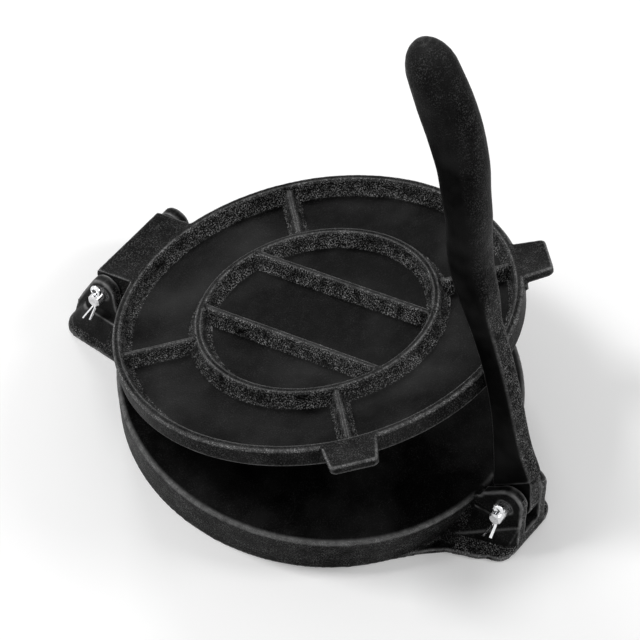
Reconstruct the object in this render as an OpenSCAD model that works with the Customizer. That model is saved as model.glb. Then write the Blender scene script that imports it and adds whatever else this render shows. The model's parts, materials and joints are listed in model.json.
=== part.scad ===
// Cast-iron tortilla press: two round plates hinged at the back, pressed by a
// curved lever that turns in a clevis at the front.
// Frame: the origin is on the table under the centre of the lower plate, +Z up,
// X along both pivots, the lever at -Y and the hinge at +Y.

/* [Plates] */
// Radius of both plates
plate_r = 105; // [95:1:115]
// Height of the upper plate, from its press face to the top of its rim
plate_h = 13.2; // [12:0.2:16]
// Height of the lower press face above the table
face_z = 25.5; // [24:0.5:30]
// Gap between the two press faces when the press is shut
closed_gap = 0.6; // [0.4:0.1:2]
// How far the upper plate stands open at rest, in degrees
open_angle = 18; // [14:0.5:20]
// Thickness of the lower plate's floor
base_floor_t = 6.5; // [5:0.5:8]
// Thickness of the skirt under the lower plate
skirt_t = 6; // [4:0.5:8]
// How much narrower the skirt's radius is at the table than at the press face
skirt_in = 3; // [1:0.5:8]
// Thickness of the ribs under the lower plate
base_rib_t = 5; // [4:0.5:8]

/* [Upper plate relief] */
// Thickness of the upper plate's floor
lid_floor_t = 5.2; // [4:0.2:7]
// Width of the rim at its top
rim_w = 4.4; // [3.5:0.1:6]
// Middle radius of the raised ring
ring_r = 60.8; // [50:0.2:70]
// Width of the ring at its top
ring_w = 4; // [3:0.1:6]
// Half the distance between the two parallel bars inside the ring
bar_x = 22.7; // [15:0.1:30]
// Width of a bar at its top
bar_w = 3.5; // [2.5:0.1:5]
// Width of a corner rib at its top
rib_w = 3; // [2.5:0.1:5]
// How far ring, bars and ribs stay below the rim
relief_drop = 0.8; // [0.4:0.1:2]
// Slope run of the cast walls from the top to the floor
draft_run = 2; // [1:0.1:3]
// Height of the bevel round the upper press face
lid_bevel = 3; // [1.5:0.1:4]

/* [Lift tabs] */
// How far a tab stands out from the rim
tab_out = 15; // [10:0.5:20]
// Width of a tab where it leaves the rim
tab_root_w = 28; // [22:0.5:34]
// Width of a tab at its end
tab_end_w = 24.5; // [18:0.5:28]
// Thickness of a tab
tab_t = 6; // [4:0.5:8]
// Radius of a tab's corners
tab_corner_r = 3; // [1:0.5:5]

/* [Hinge] */
// Distance from the rim of the plates to the hinge axis
hinge_out = 12.4; // [11:0.2:16]
// Height of the hinge axis above the upper press face, with the press shut
hinge_up = 4.4; // [4:0.2:6]
// Diameter of the hinge pin
hinge_pin_d = 7; // [5:0.5:8]
// Width of the upper plate's hinge block
block_w = 51; // [40:0.5:53]
// Radius of the round underside of the hinge block
block_r = 7.6; // [6.5:0.1:8]
// Gap between the hinge block and each ear
ear_play = 1; // [0.8:0.1:3]
// Thickness of a hinge ear
ear_t = 6; // [5:0.5:8]
// Radius of the top of a hinge ear
ear_r = 8.2; // [7.6:0.2:10]
// Height of the rear foot block under the ears
rear_block_z = 17.5; // [14:0.5:18]
// How far the rear foot block stands out beyond the ears, at its top
rear_top_out = 4; // [3:0.5:8]
// How far the rear foot block stands out beyond the ears, at the table
rear_foot_wide = 12; // [9:0.5:18]
// How far the rear foot block reaches beyond the rim, at the table
rear_foot_out = 29.5; // [26:0.5:34]

/* [Clevis] */
// Distance from the rim of the plates to the lever pin
lever_pin_out = 16; // [15:0.5:19]
// Height of the lever pin above the table
lever_pin_z = 29; // [28:0.5:32]
// Diameter of the lever pin
lever_pin_d = 7; // [5:0.5:8]
// Width of the slot between the clevis ears
slot_w = 12.1; // [12:0.1:14]
// Thickness of a clevis ear
clevis_t = 5.6; // [5:0.1:8]
// Height of the clevis ears above the lever pin
clevis_up = 12.2; // [11:0.2:14]
// Radius of the top of a clevis ear
clevis_r = 8.2; // [7:0.2:9]
// Height of the slot's floor at the front
slot_floor_z = 11; // [9:0.5:12]
// How far the front foot reaches beyond the rim
foot_out = 28; // [27.5:0.5:31]
// Half the width of the front foot at its front
foot_x = 24; // [20:0.5:28]
// Thickness of the foot's edge
foot_t = 3; // [2:0.5:5]

/* [Lever] */
// Height of the lever's end above its pin
lever_rise = 269.5; // [255:0.5:285]
// Thickness of the lever above its shoulder
lever_t = 11.4; // [10:0.1:11.6]
// Thickness of the lever's tang inside the clevis
tang_t = 9; // [7:0.1:10]
// Radius of the round end of the tang
tang_r = 11; // [9:0.5:11.5]
// Gap between the lever's back and the rim's path
rim_clear = 0.4; // [0.3:0.1:1]
// Diameter of the grip at its thickest
grip_d = 28.4; // [24:0.2:30]

/* [Pins] */
// Gap between a pin and its hole, on the radius
pin_clear = 0.08; // [0.05:0.01:0.1]
// Thickness of a pin's head
pin_head_t = 1.8; // [1.4:0.1:2.4]
// How far a pin's end stands past the middle of its cotter
pin_tail = 2.2; // [2:0.2:4]
// Diameter of a cotter's doubled shank
cotter_d = 2.4; // [2:0.1:3]
// Radius of a cotter's eye, to the middle of its wire
cotter_eye_r = 2.7; // [2.4:0.1:4]
// Length of a cotter below its pin
cotter_leg = 8; // [6:0.5:9]
// Gap between a hinge ear and its cotter
hinge_cotter_gap = 3.2; // [2:0.1:4]
// Gap between a clevis ear and its cotter
lever_cotter_gap = 5.6; // [4.5:0.1:7]

/* [Hidden] */
$fn = 96;
eps = 0.01;
big = 400;

iron = "#232323";
pin_steel = "#3a3a3a";
zinc = "#c8ccd0";

skirt_foot_r = plate_r - skirt_in;
hinge_y = plate_r + hinge_out;
rear_foot_y = plate_r + rear_foot_out;
lever_pin_y = plate_r + lever_pin_out;
foot_y = plate_r + foot_out;
hinge_z = face_z + closed_gap + hinge_up;
lid_top_z = hinge_z - hinge_up + plate_h;
relief_h = plate_h - lid_floor_t;
lever_pin_at = [-lever_pin_y, lever_pin_z];
hinge_at = [hinge_y, hinge_z];
ear_in_x = block_w / 2 + ear_play;
ear_out_x = ear_in_x + ear_t;
rear_top_x = ear_out_x + rear_top_out;
rear_foot_x = ear_out_x + rear_foot_wide;
clevis_out_x = slot_w / 2 + clevis_t;
rim_path_r = norm([hinge_y + plate_r, plate_h - hinge_up]);

// ---- shapes that repeat ----

// Points of an arc round c, from angle a0 to a1
function arc(c, r, a0, a1, n = 8) =
    [for (i = [0:n]) let (a = a0 + (a1 - a0) * i / n) c + r * [cos(a), sin(a)]];

// Extrudes a side outline, drawn as [y, z], along X and centres it
module along_x(w) {
    rotate([90, 0, 90]) translate([0, 0, -w / 2]) linear_extrude(w) children();
}

// A cylinder along X through [y, z]
module cross_cylinder(at, r, w) {
    translate([-w / 2, at[0], at[1]]) rotate([0, 90, 0]) cylinder(r = r, h = w);
}

// Places children at +x and, mirrored, at -x
module both_sides() {
    children();
    mirror([1, 0, 0]) children();
}

// ---- lower plate ----

edge_r = 2;
base_underside_z = face_z - base_floor_t;

module base_outer() {
    rotate_extrude() polygon(concat(
        [[0, 0], [skirt_foot_r, 0]],
        arc([plate_r - edge_r, face_z - edge_r], edge_r, 0, 90, 6),
        [[0, face_z]]));
}

module base_cavity() {
    translate([0, 0, -eps])
        cylinder(r1 = skirt_foot_r - skirt_t, r2 = plate_r - skirt_t - 4,
                 h = base_underside_z + eps);
}

module base_ribs() {
    rib_len = 2 * (skirt_foot_r - skirt_t / 2);
    for (a = [0, 90])
        rotate([0, 0, a]) translate([-rib_len / 2, -base_rib_t / 2, 0])
            cube([rib_len, base_rib_t, base_underside_z + 1]);
}

// Front foot: a flared flange, then steeper cheeks, which carry the clevis
foot_corner = 8;
foot_lip = 1.2;
flange_top_z = 5.4;
flange_inset = 8;
cheek_top_z = 20.5;
cheek_back_y = plate_r - 6;
cheek_x = clevis_out_x + 0.3;

// Half outline of the flange at the table, from its front to where it joins the disc
flange_half = concat(
    arc([foot_x - foot_corner, -foot_y + foot_lip + foot_corner], foot_corner, -90, 0, 6),
    [[foot_x + 3.7, -foot_y + 13.5], [foot_x + 7.9, -foot_y + 23],
     [foot_x + 10.6, -plate_r + 0.8], [foot_x + 15.9, -plate_r + 6.3],
     [foot_x + 21.7, -plate_r + 11.5], [foot_x + 34, -plate_r + 21.2]]);

module mirrored_outline(half) {
    polygon(concat(half, [for (i = [len(half) - 1:-1:0]) [-half[i][0], half[i][1]]]));
}

// Thin slab from the foot's front, front_x wide, back to the cheeks' end, back_x wide
module foot_slab(z, front_y, front_x, back_x, corner) {
    translate([0, 0, z]) linear_extrude(eps) mirrored_outline([
        [front_x - corner, -front_y], [front_x, -front_y + corner], [back_x, -cheek_back_y]]);
}

module front_foot() {
    linear_extrude(foot_t) mirrored_outline(flange_half);
    hull() {
        foot_slab(foot_t - 1, foot_y, foot_x - 0.5, foot_x + 12, foot_corner);
        foot_slab(flange_top_z, foot_y - 0.3, foot_x - flange_inset, foot_x + 4.5, 4);
    }
    hull() {
        foot_slab(flange_top_z - 1, foot_y - 0.3, foot_x - flange_inset, foot_x + 4.5, 4);
        foot_slab(cheek_top_z - eps, foot_y - 1.4, cheek_x, cheek_x + 2.6, 0.4);
    }
}

module clevis_ear() {
    top_c = [-lever_pin_y - 1.6, lever_pin_z + clevis_up - clevis_r];
    translate([slot_w / 2 + clevis_t / 2, 0, 0]) along_x(clevis_t) polygon(concat(
        [[-cheek_back_y, 8], [-cheek_back_y, face_z - 2], [-plate_r - 0.8, face_z + 0.3],
         [-plate_r - 2, face_z + 4]],
        arc(top_c, clevis_r, 48, 184, 14),
        [[-foot_y + 1.4, cheek_top_z], [-foot_y + 0.4, flange_top_z], [-foot_y + 0.4, foot_t]]));
}

module slot_cut() {
    along_x(slot_w) polygon([
        [-foot_y - 5, slot_floor_z - 0.5], [-lever_pin_y + tang_r - 2, slot_floor_z + 1],
        [-plate_r - 2, cheek_top_z - 1], [-plate_r - 0.6, cheek_top_z + 1],
        [-plate_r - 0.6, big], [-foot_y - 5, big]]);
}

// Rear foot block, which carries the two hinge ears
module rear_block() {
    hull() both_sides() {
        translate([rear_foot_x - 11, rear_foot_y - 11, 0]) cylinder(r = 11, h = 2, $fn = 32);
        translate([rear_foot_x - 3, plate_r - 17, 0]) cylinder(r = 3, h = 2, $fn = 32);
        translate([rear_top_x - 4, hinge_y + 5.5, rear_block_z - 1])
            cylinder(r = 4, h = 1, $fn = 32);
        translate([rear_top_x - 4, plate_r - 13, rear_block_z - 1])
            cylinder(r = 4, h = 1, $fn = 32);
    }
}

module hinge_ear() {
    front_y = hinge_y - ear_r - 2;
    translate([ear_in_x + ear_t / 2, 0, 0]) along_x(ear_t) polygon(concat(
        [[rear_foot_y - 1, 5], [rear_foot_y - 2, 13.5], [rear_foot_y - 5, 22]],
        arc(hinge_at, ear_r, 35, 180, 20),
        [[front_y, face_z - 3], [front_y - 10, face_z - 4], [front_y - 10, 5]]));
}

module base_plate() {
    color(iron) difference() {
        union() {
            difference() {
                union() {
                    base_outer();
                    front_foot();
                    rear_block();
                }
                base_cavity();
                slot_cut();
            }
            base_ribs();
            both_sides() {
                clevis_ear();
                hinge_ear();
            }
        }
        cross_cylinder(hinge_at, hinge_pin_d / 2 + pin_clear, big);
        cross_cylinder(lever_pin_at, lever_pin_d / 2 + pin_clear, 2 * clevis_out_x + 20);
    }
}

// ---- upper plate, drawn shut and then opened ----

// Each kind of raised wall has a foot fillet of its own size
rim_fillet = 2.9;
ring_fillet = 2.6;
bar_fillet = 2.3;
rib_fillet = 2;

// Half outline of a raised wall: [distance from its middle, height below the rim]
function wall_side(half_w, drop, fillet) = [
    [half_w + draft_run + fillet, -relief_h - fillet / 20],
    [half_w + draft_run + fillet * 0.3, -relief_h + fillet * 0.3],
    [half_w + draft_run * 0.75, -relief_h + fillet],
    [half_w + 0.3, -drop - 1],
    [half_w - 0.7, -drop]];

function wall_outline(half_w, drop, fillet) = let (s = wall_side(half_w, drop, fillet))
    concat(s, [for (i = [len(s) - 1:-1:0]) [-s[i][0], s[i][1]]]);

rim_inner = [for (p = wall_side(rim_w, 0, rim_fillet))
    [plate_r - p[0], max(p[1], -relief_h)]];

module lid_disc() {
    rim_round = 1.6;
    rotate_extrude() polygon(concat(
        [[0, -plate_h], [plate_r - lid_bevel, -plate_h], [plate_r, -plate_h + lid_bevel]],
        arc([plate_r - rim_round, -rim_round], rim_round, 0, 90, 5),
        [for (i = [len(rim_inner) - 1:-1:0]) rim_inner[i]],
        [[0, -relief_h]]));
}

module lid_ring() {
    half = ring_w / 2;
    foot = half + draft_run + ring_fillet;
    rotate_extrude() polygon(concat(
        [for (p = wall_outline(half, relief_drop, ring_fillet)) [ring_r + p[0], p[1]]],
        [[ring_r - foot, -relief_h - 1], [ring_r + foot, -relief_h - 1]]));
}

// A straight raised wall of a given length along Y, from the origin
module raised_wall(half_w, drop, fillet, length) {
    foot = half_w + draft_run + fillet;
    rotate([90, 0, 180]) linear_extrude(length) polygon(concat(
        wall_outline(half_w, drop, fillet),
        [[-foot, -relief_h - 1], [foot, -relief_h - 1]]));
}

module lid_bars() {
    half_chord = sqrt(pow(ring_r, 2) - pow(bar_x, 2));
    for (s = [-1, 1])
        translate([s * bar_x, -half_chord, 0])
            raised_wall(bar_w / 2, relief_drop + 0.2, bar_fillet, 2 * half_chord);
}

module lid_ribs() {
    for (a = [45:90:315])
        rotate([0, 0, a - 90]) translate([0, ring_r, 0])
            raised_wall(rib_w / 2, relief_drop + 0.5, rib_fillet, plate_r - rim_w - ring_r);
}

module lift_tab() {
    root = plate_r - 2;
    inner = tab_root_w / 2;
    end = tab_end_w / 2;
    c = tab_corner_r;
    outline = concat([[inner, root]],
        arc([end - c, plate_r + tab_out - c], c, 0, 90, 5),
        arc([-end + c, plate_r + tab_out - c], c, 90, 180, 5), [[-inner, root]]);
    hull() {
        translate([0, 0, -tab_t + 1.5]) linear_extrude(tab_t - 2.5) polygon(outline);
        translate([0, 0, -0.35]) linear_extrude(0.1) polygon(
            [for (p = outline) [p[0] * 0.95, p[1] - 0.6]]);
        translate([0, 0, -tab_t]) linear_extrude(0.1) polygon(
            [for (p = outline) [p[0] * 0.92, p[1] - 1.2]]);
    }
}

module hinge_block() {
    back = block_r;
    round_r = 3;
    drop = 0.2;
    w_axis = hinge_up - plate_h;
    front = plate_r - 12;
    difference() {
        along_x(block_w) polygon(concat(
            [[front, -drop]],
            arc([hinge_y + back - round_r, -drop - round_r], round_r, 90, 0, 6),
            arc([hinge_y, w_axis], back, 0, -150, 16),
            [[plate_r - 1, -plate_h + lid_bevel + 0.6], [front, -plate_h + lid_bevel + 0.6]]));
        translate([0, 0, -plate_h])
            cylinder(r = plate_r - rim_w + 1.3, h = plate_h + 1);
    }
}

// Small stub left where the casting was broken from its runner
module casting_nub() {
    rotate([0, 0, -52]) translate([plate_r - 1.5, 0, -6.5]) rotate([0, 90, 0])
        cylinder(r = 2.6, h = 3, $fn = 24);
}

module shut_lid() {
    difference() {
        union() {
            lid_disc();
            lid_ring();
            lid_bars();
            lid_ribs();
            for (a = [-135, 135]) rotate([0, 0, a]) lift_tab();
            hinge_block();
            casting_nub();
        }
        cross_cylinder([hinge_y, hinge_up - plate_h], hinge_pin_d / 2 + pin_clear, big);
    }
}

module upper_plate() {
    color(iron) translate([0, hinge_y, hinge_z]) rotate([-open_angle, 0, 0])
        translate([0, -hinge_y, plate_h - hinge_up]) shut_lid();
}

// ---- lever ----

// The lever's back follows the path of the upper plate's rim round the hinge
function back_y(z) = hinge_y - sqrt(pow(rim_path_r + rim_clear, 2) - pow(z - hinge_z, 2));

// A height up the lever, given above its pin and drawn for a rise of lever_drawn
lever_drawn = 269.5;
function up(h) = lever_pin_z + h * lever_rise / lever_drawn;

// Stations up the lever: [y, z, half depth, half thickness, squareness]
grip_r = grip_d / 2;
bar_square = 7;
function behind_rim(z, depth) = let (half = depth / 2, slope = 1.05)
    [back_y(z) - half * slope, z, half, lever_t / 2, bar_square];
stations = [
    [-lever_pin_y + 1.4, lever_pin_z + 3, 12, lever_t / 2, bar_square],
    [-lever_pin_y + 1.9, lever_pin_z + 13, 12, lever_t / 2, bar_square],
    [-lever_pin_y + 3.8, lever_pin_z + 20, 11.3, lever_t / 2, bar_square],
    behind_rim(up(32), 18.6),
    behind_rim(up(46), 15.8),
    behind_rim(up(63), 14.4),
    behind_rim(up(81), 13.8),
    behind_rim(up(97), 14),
    behind_rim(up(110), 15),
    [25.2 - plate_r, up(125), 9.2, 7.6, 4],
    [31 - plate_r, up(139), 10.3, 8.9, 3],
    [35.4 - plate_r, up(157), 10.9, 10, 2.5],
    [38 - plate_r, up(174), 11.2, 10.6, 2.3],
    [42 - plate_r, up(190), 12, 11.2, 2.2],
    [45.6 - plate_r, up(205), 12.8, 11.8, 2.2],
    [52.6 - plate_r, up(223), grip_r - 0.4, grip_r - 1.8, 2.2],
    [60.2 - plate_r, up(238), grip_r, grip_r - 1.6, 2.1],
    [67.6 - plate_r, up(251), grip_r - 1, grip_r - 2.2, 2.1]];
station_steps = 3;
section_points = 28;

// Catmull-Rom interpolation between stations
function clamp_i(i) = max(0, min(len(stations) - 1, i));
function spline(i, t) = let (
    p0 = stations[clamp_i(i - 1)], p1 = stations[clamp_i(i)],
    p2 = stations[clamp_i(i + 1)], p3 = stations[clamp_i(i + 2)])
    0.5 * (2 * p1 + (p2 - p0) * t + (2 * p0 - 5 * p1 + 4 * p2 - p3) * t * t
           + (3 * p1 - p0 - 3 * p2 + p3) * t * t * t);
path = concat(
    [for (i = [0:len(stations) - 2]) for (k = [0:station_steps - 1])
        spline(i, k / station_steps)],
    [stations[len(stations) - 1]]);

function heading(i) = let (
    a = path[max(0, i - 1)], b = path[min(len(path) - 1, i + 1)], d = [b[0] - a[0], b[1] - a[1]])
    d / norm(d);

// Ring of points round a centre, across the heading
function ring_at(centre, dir, half_depth, half_thick, square) = [
    for (k = [0:section_points - 1]) let (
        a = 360 * k / section_points,
        c = cos(a), s = sin(a),
        x = half_thick * sign(c) * pow(abs(c), 2 / square),
        d = half_depth * sign(s) * pow(abs(s), 2 / square))
        [x, centre[0] + d * dir[1], centre[1] - d * dir[0]]];

tip_length = 20;
tip_rings = 6;
tip = path[len(path) - 1];
tip_dir = heading(len(path) - 1);
rings = concat(
    [for (i = [0:len(path) - 1]) let (p = path[i])
        ring_at([p[0], p[1]], heading(i), p[2], p[3], p[4])],
    [for (k = [1:tip_rings]) let (a = 84 * k / tip_rings)
        ring_at([tip[0], tip[1]] + tip_length * sin(a) * tip_dir, tip_dir,
                tip[2] * cos(a), tip[3] * cos(a), tip[4])]);

module lever_bar() {
    n = section_points;
    m = len(rings);
    polyhedron(
        points = [for (r = rings) for (p = r) p],
        faces = concat(
            [[for (k = [0:n - 1]) k]],
            [for (i = [0:m - 2]) for (k = [0:n - 1]) let (k2 = (k + 1) % n)
                each [[i * n + k, (i + 1) * n + k, (i + 1) * n + k2],
                      [i * n + k, (i + 1) * n + k2, i * n + k2]]],
            [[for (k = [n - 1:-1:0]) (m - 1) * n + k]]));
}

module lever() {
    shoulder_low = [-lever_pin_y + 9, lever_pin_z + 4];
    shoulder_angle = -44;
    color(iron) difference() {
        union() {
            difference() {
                lever_bar();
                translate([-big / 2, shoulder_low[0], shoulder_low[1]])
                    rotate([shoulder_angle, 0, 0]) translate([0, -big / 2, -big])
                        cube([big, big, big]);
            }
            cross_cylinder(lever_pin_at, tang_r, tang_t);
            along_x(tang_t) polygon([
                [-lever_pin_y - tang_r, lever_pin_z], [-lever_pin_y + tang_r, lever_pin_z],
                [-lever_pin_y + tang_r + 1, lever_pin_z + 10],
                [-lever_pin_y + 13, lever_pin_z + 24],
                [-lever_pin_y - 5, lever_pin_z + 24], [-lever_pin_y - 8.6, lever_pin_z + 17]]);
        }
        cross_cylinder(lever_pin_at, lever_pin_d / 2 + pin_clear, big);
    }
}

// ---- pins and cotters ----

cotter_eye_wire = cotter_d * 2 / 3;
cotter_hole_clear = 0.12;
leg_spread = 9;
leg_bend = 55;
leg_offset = 0.35;
cotter_half = cotter_eye_wire / 2 + cotter_d / 2;
hinge_cotter_x = ear_out_x + hinge_cotter_gap + cotter_half;
lever_cotter_x = clevis_out_x + lever_cotter_gap + cotter_half;

// A pin along X through [y, z]: a low head past the ear at out_x, a cross hole at -mid_x
module headed_pin(at, d, out_x, mid_x) {
    end_x = mid_x + pin_tail;
    chamfer = 0.8;
    head_r = d / 2 + 1.4;
    seat = out_x + 0.2;
    head_edge = 0.5;
    color(pin_steel) difference() {
        translate([0, at[0], at[1]]) rotate([0, 90, 0]) rotate_extrude() polygon([
            [0, -end_x], [d / 2 - chamfer, -end_x], [d / 2, -end_x + chamfer],
            [d / 2, seat], [head_r, seat], [head_r, seat + pin_head_t - head_edge],
            [head_r - head_edge, seat + pin_head_t], [0, seat + pin_head_t]]);
        translate([-mid_x, at[0], at[1]])
            cylinder(r = cotter_d / 2 + cotter_hole_clear, h = 2 * d, center = true);
    }
}

// A split cotter hanging through a pin at -mid_x: eye above, legs bent outward below
module cotter(at, d, mid_x) {
    eye_z = d / 2 + 0.3 + cotter_eye_r;
    color(zinc) translate([-mid_x, at[0], at[1]]) {
        translate([0, 0, -d / 2 - 2]) cylinder(r = cotter_d / 2, h = d + 2.6);
        translate([0, 0, eye_z]) rotate([0, 90, 0]) rotate_extrude()
            translate([cotter_eye_r, 0]) circle(d = cotter_eye_wire, $fn = 24);
        for (s = [-1, 1])
            translate([0, s * leg_offset, -d / 2 - 1.4]) rotate([s * leg_spread, leg_bend, 0])
                translate([0, 0, -cotter_leg])
                    cylinder(d = cotter_eye_wire, h = cotter_leg, $fn = 24);
    }
}

module hinge_pin() { headed_pin(hinge_at, hinge_pin_d, ear_out_x, hinge_cotter_x); }
module lever_pin() { headed_pin(lever_pin_at, lever_pin_d, clevis_out_x, lever_cotter_x); }
module hinge_cotter() { cotter(hinge_at, hinge_pin_d, hinge_cotter_x); }
module lever_cotter() { cotter(lever_pin_at, lever_pin_d, lever_cotter_x); }

base_plate();
upper_plate();
lever();
hinge_pin();
lever_pin();
hinge_cotter();
lever_cotter();
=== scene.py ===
import json
import math

import bmesh
import bpy
import numpy as np
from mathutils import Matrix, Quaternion, Vector, noise


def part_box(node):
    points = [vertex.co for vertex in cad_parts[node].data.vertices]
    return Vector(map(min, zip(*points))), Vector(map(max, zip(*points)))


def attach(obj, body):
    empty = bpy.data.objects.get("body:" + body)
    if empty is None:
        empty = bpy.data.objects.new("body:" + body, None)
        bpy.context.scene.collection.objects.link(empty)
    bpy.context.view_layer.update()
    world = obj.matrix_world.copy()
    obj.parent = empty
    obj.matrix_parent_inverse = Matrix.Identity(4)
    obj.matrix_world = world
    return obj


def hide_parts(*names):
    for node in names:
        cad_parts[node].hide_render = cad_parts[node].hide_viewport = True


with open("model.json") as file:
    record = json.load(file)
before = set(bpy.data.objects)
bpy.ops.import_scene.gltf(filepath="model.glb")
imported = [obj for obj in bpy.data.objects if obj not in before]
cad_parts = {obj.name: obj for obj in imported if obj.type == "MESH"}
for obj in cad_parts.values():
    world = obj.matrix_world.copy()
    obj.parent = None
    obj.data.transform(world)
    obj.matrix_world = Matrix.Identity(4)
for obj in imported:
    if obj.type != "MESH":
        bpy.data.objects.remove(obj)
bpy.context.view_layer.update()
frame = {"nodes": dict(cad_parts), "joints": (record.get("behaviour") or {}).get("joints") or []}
NODES = frame["nodes"]

# All lengths are in metres, and noise scales are in cells per metre.

# ---- joints, from the frame ----

JOINTS = {joint["name"]: joint for joint in frame["joints"]}
HINGE = Vector(JOINTS["lid_hinge"]["pos_m"])
LEVER_PIN = Vector(JOINTS["lever_hinge"]["pos_m"])
OPEN_ANGLE = math.radians(-JOINTS["lid_hinge"]["range_deg"][0])
# The upper plate's own upward direction, at rest
LID_UP = Vector((0, math.sin(OPEN_ANGLE), math.cos(OPEN_ANGLE)))


def add_object(name, data):
    obj = bpy.data.objects.new(name, data)
    bpy.context.collection.objects.link(obj)
    return obj


def aim(obj, place, target, roll=0.0):
    """Puts a camera or a lamp at a place and turns it to a target."""
    look = (Vector(target) - Vector(place)).to_track_quat("-Z", "Y")
    obj.location = place
    obj.rotation_mode = "QUATERNION"
    obj.rotation_quaternion = look @ Quaternion((0, 0, 1), roll)


# ---- camera: the photograph's viewpoint ----

CAMERA_AT = (-1.0184, -0.5797, 1.5196)
CAMERA_TARGET = (0.0118, 0.0121, 0.05)
CAMERA_ROLL = math.radians(7.59)
CAMERA_LENS = 208.85
SENSOR_WIDTH = 36
NEAREST, FARTHEST = 0.1, 20


def make_camera():
    data = bpy.data.cameras.new("camera")
    data.lens = CAMERA_LENS
    data.sensor_width = SENSOR_WIDTH
    data.clip_start, data.clip_end = NEAREST, FARTHEST
    camera = add_object("camera", data)
    aim(camera, CAMERA_AT, CAMERA_TARGET, CAMERA_ROLL)
    bpy.context.scene.camera = camera


# ---- light and floor ----

WHITE = (1, 1, 1, 1)
BACKDROP = 1.0      # the world's strength where it is seen
WORLD_FILL = 0.4    # the world's strength as light on the object
FLOOR_HALF = 4.0
FLOOR_COLOUR = (0.9, 0.9, 0.9, 1)
FLOOR_ROUGHNESS = 0.8
FLOOR_SPECULAR = 0.1
FLOOR_GLOW = 0.15   # brings the floor near white and keeps the shadow

# Each lamp: name, place, target, side of its square, power in watts
LAMPS = (
    ("key", (-0.6, 0.9, 1.6), (0, 0, 0.05), 0.5, 17),
    ("front", (0.9, -1.2, 1.3), (0, 0, 0.08), 0.6, 9),
    ("back", (0.95, 1.25, 0.85), (0, 0, 0.06), 0.4, 6),
)


def seen_directly(tree):
    """1 for the rays that show a surface to the camera, also through gloss or glass."""
    path = tree.nodes.new("ShaderNodeLightPath")
    seen = path.outputs["Is Camera Ray"]
    for kind in ("Is Glossy Ray", "Is Transmission Ray"):
        either = tree.nodes.new("ShaderNodeMath")
        either.operation = "MAXIMUM"
        tree.links.new(seen, either.inputs[0])
        tree.links.new(path.outputs[kind], either.inputs[1])
        seen = either.outputs[0]
    return seen


def background(tree, strength):
    shader = tree.nodes.new("ShaderNodeBackground")
    shader.inputs["Color"].default_value = WHITE
    shader.inputs["Strength"].default_value = strength
    return shader.outputs[0]


def make_world():
    """White where it is seen, and a weaker even fill light on the object."""
    world = bpy.data.worlds.new("studio")
    bpy.context.scene.world = world
    world.use_nodes = True
    tree = world.node_tree
    tree.nodes.clear()
    out = tree.nodes.new("ShaderNodeOutputWorld")
    mix = tree.nodes.new("ShaderNodeMixShader")
    tree.links.new(seen_directly(tree), mix.inputs["Fac"])
    tree.links.new(background(tree, WORLD_FILL), mix.inputs[1])
    tree.links.new(background(tree, BACKDROP), mix.inputs[2])
    tree.links.new(mix.outputs[0], out.inputs["Surface"])


def floor_material():
    material = bpy.data.materials.new("floor")
    material.use_nodes = True
    tree = material.node_tree
    shader = tree.nodes["Principled BSDF"]
    shader.inputs["Base Color"].default_value = FLOOR_COLOUR
    shader.inputs["Roughness"].default_value = FLOOR_ROUGHNESS
    shader.inputs["Specular IOR Level"].default_value = FLOOR_SPECULAR
    shader.inputs["Emission Color"].default_value = WHITE
    glow = tree.nodes.new("ShaderNodeMath")
    glow.operation = "MULTIPLY"
    glow.inputs[1].default_value = FLOOR_GLOW
    tree.links.new(seen_directly(tree), glow.inputs[0])
    tree.links.new(glow.outputs[0], shader.inputs["Emission Strength"])
    return material


def make_floor():
    mesh = bpy.data.meshes.new("floor")
    h = FLOOR_HALF
    mesh.from_pydata([(-h, -h, 0), (h, -h, 0), (h, h, 0), (-h, h, 0)], [], [(0, 1, 2, 3)])
    mesh.materials.append(floor_material())
    add_object("floor", mesh)


def make_lamp(name, place, target, side, power):
    data = bpy.data.lights.new(name, "AREA")
    data.shape = "SQUARE"
    data.size = side
    data.energy = power
    aim(add_object(name, data), place, target)


def make_studio():
    bpy.context.scene.view_settings.view_transform = "Standard"
    make_world()
    make_floor()
    for lamp in LAMPS:
        make_lamp(*lamp)


# ---- materials ----


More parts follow.
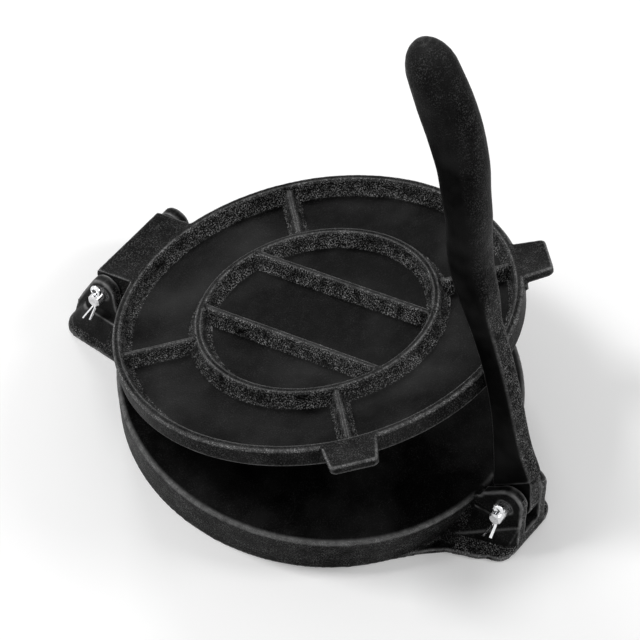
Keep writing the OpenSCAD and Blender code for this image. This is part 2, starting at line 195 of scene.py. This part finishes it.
class Nodes:
    """Short calls that build one material's node tree."""

    def __init__(self, name):
        self.material = bpy.data.materials.new(name)
        self.material.use_nodes = True
        self.tree = self.material.node_tree
        self.shader = self.tree.nodes["Principled BSDF"]
        self.place = self.add("TexCoord").outputs["Object"]

    def add(self, kind, **settings):
        made = self.tree.nodes.new("ShaderNode" + kind)
        for key, value in settings.items():
            setattr(made, key, value)
        return made

    def feed(self, socket, value):
        """Sets a socket to a number, or links it to another node's output."""
        if isinstance(value, (int, float)):
            socket.default_value = value
        else:
            self.tree.links.new(value, socket)

    def finish(self, **values):
        """Feeds the shader's sockets, named with _ for a space."""
        for key, value in values.items():
            self.feed(self.shader.inputs[key.replace("_", " ")], value)
        return self.material

    def attribute(self, name):
        return self.add("Attribute", attribute_name=name).outputs["Fac"]

    def noise(self, scale, detail=3.0, roughness=0.55):
        made = self.add("TexNoise")
        self.feed(made.inputs["Vector"], self.place)
        self.feed(made.inputs["Scale"], scale)
        self.feed(made.inputs["Detail"], detail)
        self.feed(made.inputs["Roughness"], roughness)
        return made.outputs["Fac"]

    def voronoi(self, scale, smooth):
        made = self.add("TexVoronoi", feature="SMOOTH_F1")
        self.feed(made.inputs["Vector"], self.place)
        self.feed(made.inputs["Scale"], scale)
        self.feed(made.inputs["Smoothness"], smooth)
        return made.outputs["Distance"]

    def ramp(self, source, stops):
        """A colour ramp with two stops: (place, colour) each."""
        made = self.add("ValToRGB")
        self.feed(made.inputs["Fac"], source)
        for element, (place, colour) in zip(made.color_ramp.elements, stops):
            element.position = place
            element.color = (*colour, 1)
        return made.outputs["Color"]

    def math(self, operation, a, b):
        made = self.add("Math", operation=operation)
        self.feed(made.inputs[0], a)
        self.feed(made.inputs[1], b)
        return made.outputs[0]

    def times(self, a, b):
        return self.math("MULTIPLY", a, b)

    def plus(self, a, b):
        return self.math("ADD", a, b)

    def above(self, source, level):
        return self.math("MAXIMUM", self.math("SUBTRACT", source, level), 0.0)

    def bump(self, height, strength, distance):
        made = self.add("Bump")
        self.feed(made.inputs["Height"], height)
        self.feed(made.inputs["Strength"], strength)
        self.feed(made.inputs["Distance"], distance)
        return made.outputs["Normal"]


# The iron's colour: black, lighter where a noise is above a level, times a gain: random blotches
# of tone, painted glints on the grains, and a painted highlight on the edges
IRON_SPECULAR = 0.022
IRON_BLACK = 0.001
BLOTCH_SCALE, BLOTCH_LEVEL, BLOTCH_GAIN = 22, 0.42, 0.06
# The grains' light colour is painted glints: painted highlights in clumps on the pebbled places
GRAIN_SCALE, GLINT_LEVEL, GLINT_GAIN = 1600, 0.5, 7.0
CLUMP_SCALE, CLUMP_LEVEL = 160, 0.26
# Convex edges painted lighter: a painted highlight along the edges, broken up by a noise
EDGE_HIGHLIGHT_SCALE, EDGE_HIGHLIGHT_GAIN = 240, 0.3
# Its roughness: a base, the part that a noise adds, and what a worn edge takes off
ROUGH_BASE, ROUGH_SCALE, ROUGH_GAIN, EDGE_POLISH = 0.26, 180, 0.3, 0.12
# Its relief: grains and round pits, weak on smooth places and strong on pebbled ones
GRAIN_RELIEF = 1.4
PIT_SCALE, PIT_SMOOTHNESS, PIT_RELIEF = 1050, 0.3, 0.8
SMOOTH_BUMP, PEBBLE_BUMP, BUMP_DEPTH = 0.1, 0.8, 0.0012


def cast_iron():
    """Black seasoned iron: smooth dark floors, pebbled places whose small grains are painted
    glints, and edges lightened by a painted highlight. The meshes carry the pebbled places and
    the edges as attributes."""
    m = Nodes("seasoned_cast_iron")
    # How pebbled each point is; it also sets where the painted glints go
    pebble_and_glint = m.attribute("pebble_and_glint")
    edge = m.attribute("edge")
    grains = m.noise(GRAIN_SCALE, detail=2, roughness=0.6)
    clumps = m.times(m.above(m.noise(CLUMP_SCALE), CLUMP_LEVEL), pebble_and_glint)
    blotch = m.above(m.noise(BLOTCH_SCALE), BLOTCH_LEVEL)
    flat = m.plus(m.times(blotch, BLOTCH_GAIN), IRON_BLACK)
    # Painted glints: light grains on the pebbled places
    painted_glints = m.times(m.times(m.above(grains, GLINT_LEVEL), clumps), GLINT_GAIN)
    # Painted highlight: convex edges lighter, broken up by a noise
    painted_edge_highlight = m.times(m.times(edge, m.noise(EDGE_HIGHLIGHT_SCALE)), EDGE_HIGHLIGHT_GAIN)
    patchy = m.noise(ROUGH_SCALE, detail=5, roughness=0.7)
    rough = m.plus(m.times(patchy, ROUGH_GAIN), ROUGH_BASE)
    pits = m.voronoi(PIT_SCALE, PIT_SMOOTHNESS)
    relief = m.plus(m.times(grains, GRAIN_RELIEF), m.times(pits, PIT_RELIEF))
    strength = m.plus(m.times(pebble_and_glint, PEBBLE_BUMP), SMOOTH_BUMP)
    return m.finish(Specular_IOR_Level=IRON_SPECULAR,
                    Base_Color=m.plus(m.plus(flat, painted_glints), painted_edge_highlight),
                    Roughness=m.math("SUBTRACT", rough, m.times(edge, EDGE_POLISH)),
                    Normal=m.bump(relief, strength, BUMP_DEPTH))


METAL_BUMP_DEPTH = 0.0001


def grey(value):
    return (value, value, value)


def bare_metal(name, stain, colours, polish, roughness, scratch, strength):
    """Clean metal. The colour, the roughness and the bump each follow a noise of their own, at
    the scales stain, polish and scratch."""
    m = Nodes(name)
    return m.finish(Metallic=1.0,
                    Base_Color=m.ramp(m.noise(stain, detail=4), colours),
                    Roughness=m.ramp(m.noise(polish), roughness),
                    Normal=m.bump(m.noise(scratch, detail=2), strength, METAL_BUMP_DEPTH))


def zinc():
    return bare_metal("bright_zinc",
                      stain=420, colours=[(0.3, (0.72, 0.73, 0.75)), (0.7, (0.9, 0.9, 0.91))],
                      polish=900, roughness=[(0.3, grey(0.14)), (0.8, grey(0.3))],
                      scratch=2500, strength=0.2)


def drawn_steel():
    return bare_metal("zinc_plated_rod",
                      stain=300, colours=[(0.3, (0.55, 0.55, 0.56)), (0.75, (0.82, 0.82, 0.83))],
                      polish=700, roughness=[(0.3, grey(0.2)), (0.8, grey(0.38))],
                      scratch=1800, strength=0.25)


IRON = cast_iron()
ZINC = zinc()
ROD = drawn_steel()

# ---- castings: the CAD solids with soft edges and a sand-cast skin ----

MERGE_WITHIN = 1e-6
SMOOTH_FACTOR = 0.5
# Each wave of the skin: size, depth at most, how much it follows the pebbled places
WAVES = ((0.012, 0.00012, 0.0), (0.0021, 0.00028, 0.92))
EDGE_REACH = 3             # rounds of averaging over neighbouring vertices
FACET_HEIGHT = 0.00003     # an edge stands out by more than this
EDGE_HEIGHT = 0.00012      # and by this much more where it counts in full


def softened(name, node, voxel, rounds):
    """A copy of a CAD node's mesh, remeshed and smoothed so that its edges are cast edges."""
    mesh = NODES[node].data.copy()
    bm = bmesh.new()
    bm.from_mesh(mesh)
    bmesh.ops.remove_doubles(bm, verts=bm.verts, dist=MERGE_WITHIN)
    bm.to_mesh(mesh)
    bm.free()
    obj = add_object(name, mesh)
    remesh = obj.modifiers.new("remesh", "REMESH")
    remesh.mode = "VOXEL"
    remesh.voxel_size = voxel
    smooth = obj.modifiers.new("smooth", "SMOOTH")
    smooth.factor = SMOOTH_FACTOR
    smooth.iterations = rounds
    graph = bpy.context.evaluated_depsgraph_get()
    final = bpy.data.meshes.new_from_object(obj.evaluated_get(graph))
    obj.modifiers.clear()
    obj.data = final
    final.name = name
    return obj


def vertex_vectors(items, key):
    flat = np.empty(len(items) * 3, dtype=np.float32)
    items.foreach_get(key, flat)
    return flat.reshape(-1, 3)


def neighbour_mean(mesh, values):
    """The mean of each vertex's neighbours, for an array with one row per vertex."""
    pairs = np.empty(len(mesh.edges) * 2, dtype=np.int32)
    mesh.edges.foreach_get("vertices", pairs)
    a, b = pairs.reshape(-1, 2).T
    count = np.bincount(a, minlength=len(values)) + np.bincount(b, minlength=len(values))
    columns = []
    for column in values.T:
        total = np.bincount(a, weights=column[b], minlength=len(values))
        total += np.bincount(b, weights=column[a], minlength=len(values))
        columns.append(total / np.maximum(count, 1))
    return np.stack(columns, axis=1)


def convex_edges(mesh, places, normals):
    """How sharply each vertex stands out from its surroundings, 0 to 1."""
    mean = places
    for _ in range(EDGE_REACH):
        mean = neighbour_mean(mesh, mean)
    height = ((places - mean) * normals).sum(axis=1)
    return np.clip((height - FACET_HEIGHT) / EDGE_HEIGHT, 0, 1)


def store(mesh, name, values):
    """Keeps one number per vertex, for the iron material to read."""
    mesh.attributes.new(name, "FLOAT", "POINT").data.foreach_set(
        "value", np.clip(values, 0, 1).astype(np.float32))


def roughen(obj, pebble_and_glint):
    """Presses the skin in by waves, and stores how pebbled and how edged each point is; the iron
    material paints glints where it is pebbled and a highlight along the edges.
    """
    mesh = obj.data
    places = vertex_vectors(mesh.vertices, "co")
    normals = vertex_vectors(mesh.vertex_normals, "vector")
    mask = np.clip(pebble_and_glint(places, normals), 0, 1)
    store(mesh, "pebble_and_glint", mask)
    store(mesh, "edge", convex_edges(mesh, places, normals))
    depth = np.zeros(len(places))
    for size, most, follows in WAVES:
        wave = np.array([noise.noise(Vector(p) / size) for p in places])
        depth += most * (0.5 + 0.5 * wave) * (1 - follows + follows * mask)
    moved = places - normals * depth[:, None]
    mesh.vertices.foreach_set("co", moved.astype(np.float32).ravel())
    mesh.polygons.foreach_set("use_smooth", [True] * len(mesh.polygons))
    mesh.update()


def casting(name, node, body, voxel, rounds, pebble_and_glint):
    """One iron piece in the place of a CAD node."""
    obj = softened(name, node, voxel, rounds)
    roughen(obj, pebble_and_glint)
    obj.data.materials.clear()
    obj.data.materials.append(IRON)
    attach(obj, body)
    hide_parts(node)


# How pebbled the lower plate is, which also sets its painted glints: its feet start at
# FEET_FROM, before and behind the disc
FEET_FROM, FLANGE_TOP, FACES_FRONT, FACES_UP = 0.1065, 0.0062, 0.75, 0.9
BASE_FLANGE, BASE_CHEEK, BASE_WALL, BASE_FACE = 0.9, 0.06, 0.25, 0.03


def base_pebble_and_glint(places, normals):
    """The feet's flanges are rough, the cheeks and the face smooth, the disc's wall between; the
    painted glints on the grains follow the same numbers.
    """
    feet = np.abs(places[:, 1]) > FEET_FROM
    flange = (places[:, 2] < FLANGE_TOP) | (normals[:, 1] < -FACES_FRONT)
    disc = np.where(np.abs(normals[:, 2]) > FACES_UP, BASE_FACE, BASE_WALL)
    return np.where(feet, np.where(flange, BASE_FLANGE, BASE_CHEEK), disc)


# How pebbled the upper plate is, and how strong its painted glints are: the ring's slopes and
# the bars lie within BARS_REACH of the middle, and the recess floors are less than RECESS_HEIGHT
# above the hinge's plane
BARS_REACH, RECESS_HEIGHT = 0.0575, 0.004
SLOPE_FROM, SLOPE_TO, UNDERSIDE = 0.15, 0.95, -0.8
# The bars' slopes carry the strongest painted glints, the ring's slopes less
LID_BARS, LID_SLOPE, LID_TOP, LID_FLAT = 1.0, 0.65, 0.16, 0.03


def lid_pebble_and_glint(places, normals):
    """Smooth recess floors and underside; rough slopes, most of all on the bars; tops and walls
    a little rough. The painted glints on the grains follow these numbers, strongest on the bars'
    slopes."""
    up = np.array(LID_UP)
    tilt = normals @ up
    height = (places - np.array(HINGE)) @ up
    along = (places[:, 1] - HINGE.y) / math.cos(OPEN_ANGLE) + HINGE.y
    reach = np.hypot(places[:, 0], along)
    slope = (tilt > SLOPE_FROM) & (tilt <= SLOPE_TO)
    flat = ((tilt > SLOPE_TO) & (height < RECESS_HEIGHT)) | (tilt < UNDERSIDE)
    rough = np.where(reach < BARS_REACH, LID_BARS, LID_SLOPE)
    return np.where(flat, LID_FLAT, np.where(slope, rough, LID_TOP))


# How pebbled the lever is, which also sets its painted glints: the grip's crest fades in above
# CREST_FROM, and the parting faces' grit fades out towards LOW_TO, down to LOW_LEAST
CREST_FROM, CREST_FADE, CREST_MOST = 0.24, 0.05, 0.1
LOW_TO, LOW_FADE, LOW_LEAST = 0.19, 0.08, 0.2
PARTING_GAIN, PARTING_LEVEL = 1.3, 0.4


def lever_pebble_and_glint(places, normals):
    """The parting faces front and back are rough low down, the flat sides smooth, the grip's
    crest a little rough. The painted glints on the grains follow these numbers."""
    z = places[:, 2]
    crest = np.clip((z - CREST_FROM) / CREST_FADE, 0, 1) * CREST_MOST
    low = np.clip((LOW_TO - z) / LOW_FADE, LOW_LEAST, 1)
    parting = np.abs(normals[:, 1]) * PARTING_GAIN - PARTING_LEVEL
    return np.maximum(parting * low, crest)


# Each casting: name, CAD node, body, voxel size, rounds of smoothing, how pebbled it is (which
# also sets its painted glints)
CASTINGS = (
    ("base_casting", "base_plate", "base", 0.0007, 3, base_pebble_and_glint),
    ("upper_casting", "upper_plate", "lid", 0.0005, 2, lid_pebble_and_glint),
    ("lever_casting", "lever", "lever", 0.0005, 14, lever_pebble_and_glint),
)

# ---- split cotters: a half-round wire folded into an eye and two legs ----

PIN_R = 0.0035
WIRE_R = 0.0012
WIRE_SIDES = 8
EYE_R = 0.0021
EYE_ARC = (-62, 242)               # degrees
BEND_R = 0.002
LEG_BEND = math.radians(55)
LEG_SPREAD = 0.16                  # sideways for each metre down
LEG_LENGTHS = (0.0094, 0.0082)
FOLD_GAP = 0.00006
SHARP_ANGLE = math.radians(50)
BEND_Z = -PIN_R - 0.001            # the legs bend below this
SHANK_Z = BEND_Z + 0.0008
NECK_Z = PIN_R + 0.0006
EYE_Z = NECK_Z + EYE_R + 0.0006
LEG_POINTS, SHANK_POINTS, EYE_POINTS, SMOOTHINGS = 9, 6, 25, 2


def cotter_line():
    """The wire's inner line in the YZ plane: up one leg, round the eye, down the other."""
    up = [(FOLD_GAP + LEG_SPREAD * t, BEND_Z - t)
          for t in np.linspace(LEG_LENGTHS[0], 0, LEG_POINTS)]
    up += [(FOLD_GAP, z) for z in np.linspace(SHANK_Z, NECK_Z, SHANK_POINTS)]
    eye = [(EYE_R * math.cos(a), EYE_Z + EYE_R * math.sin(a))
           for a in np.radians(np.linspace(*EYE_ARC, EYE_POINTS))]
    down = [(-FOLD_GAP, z) for z in np.linspace(NECK_Z, SHANK_Z, SHANK_POINTS)]
    down += [(-FOLD_GAP - LEG_SPREAD * t, BEND_Z - t)
             for t in np.linspace(0, LEG_LENGTHS[1], LEG_POINTS)]
    line = np.array(up + eye + down)
    for _ in range(SMOOTHINGS):
        line[1:-1] = (line[:-2] + 2 * line[1:-1] + line[2:]) / 4
    return line


def bent(x, y, z):
    """Bends a point of the straight cotter outward, where it is below its pin."""
    below = BEND_Z - z
    if below <= 0:
        return Vector((x, y, z))
    angle = min(below / BEND_R, LEG_BEND)
    rest = below - BEND_R * angle
    along_x = BEND_R * (1 - math.cos(angle)) + rest * math.sin(angle)
    along_z = BEND_R * math.sin(angle) + rest * math.cos(angle)
    return Vector((along_x + x * math.cos(angle), y, BEND_Z - along_z + x * math.sin(angle)))


def cotter_mesh(name):
    """Sweeps a half-round wire, flat side inward, along the cotter's line."""
    line = cotter_line()
    step = np.gradient(line, axis=0)
    step /= np.linalg.norm(step, axis=1)[:, None]
    bm = bmesh.new()
    loops = []
    for (y, z), (ty, tz) in zip(line, step):
        ring = []
        for a in np.linspace(0, math.pi, WIRE_SIDES + 1):
            out = WIRE_R * math.sin(a)
            side = WIRE_R * math.cos(a)
            ring.append(bm.verts.new(bent(side, y + out * tz, z - out * ty)))
        loops.append(ring)
    for near, far in zip(loops[:-1], loops[1:]):
        for k in range(len(near)):
            n = (k + 1) % len(near)
            bm.faces.new((near[k], near[n], far[n], far[k]))
    bm.faces.new(loops[0][::-1])
    bm.faces.new(loops[-1])
    bmesh.ops.recalc_face_normals(bm, faces=bm.faces)
    mesh = bpy.data.meshes.new(name)
    bm.to_mesh(mesh)
    bm.free()
    return mesh


def split_cotter(node, pin_place):
    """A wire cotter in the place of a CAD cotter, at the pin's -X end, legs bent to -X."""
    middle = Vector((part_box(node)[1].x - WIRE_R, pin_place.y, pin_place.z))
    mesh = cotter_mesh(node + "_wire")
    for vertex in mesh.vertices:
        x, y, z = vertex.co
        vertex.co = middle + Vector((-x, y, z))
    mesh.flip_normals()
    mesh.shade_smooth()
    mesh.set_sharp_from_angle(angle=SHARP_ANGLE)
    mesh.materials.append(ZINC)
    obj = add_object(node + "_wire", mesh)
    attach(obj, "base")
    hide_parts(node)


def rod_finish(node):
    """A CAD pin is carried over as it is, with the rod's material."""
    materials = NODES[node].data.materials
    materials.clear()
    materials.append(ROD)


make_camera()
make_studio()
for row in CASTINGS:
    casting(*row)
for pin, pin_place in (("hinge", HINGE), ("lever", LEVER_PIN)):
    rod_finish(pin + "_pin")
    split_cotter(pin + "_cotter", pin_place)
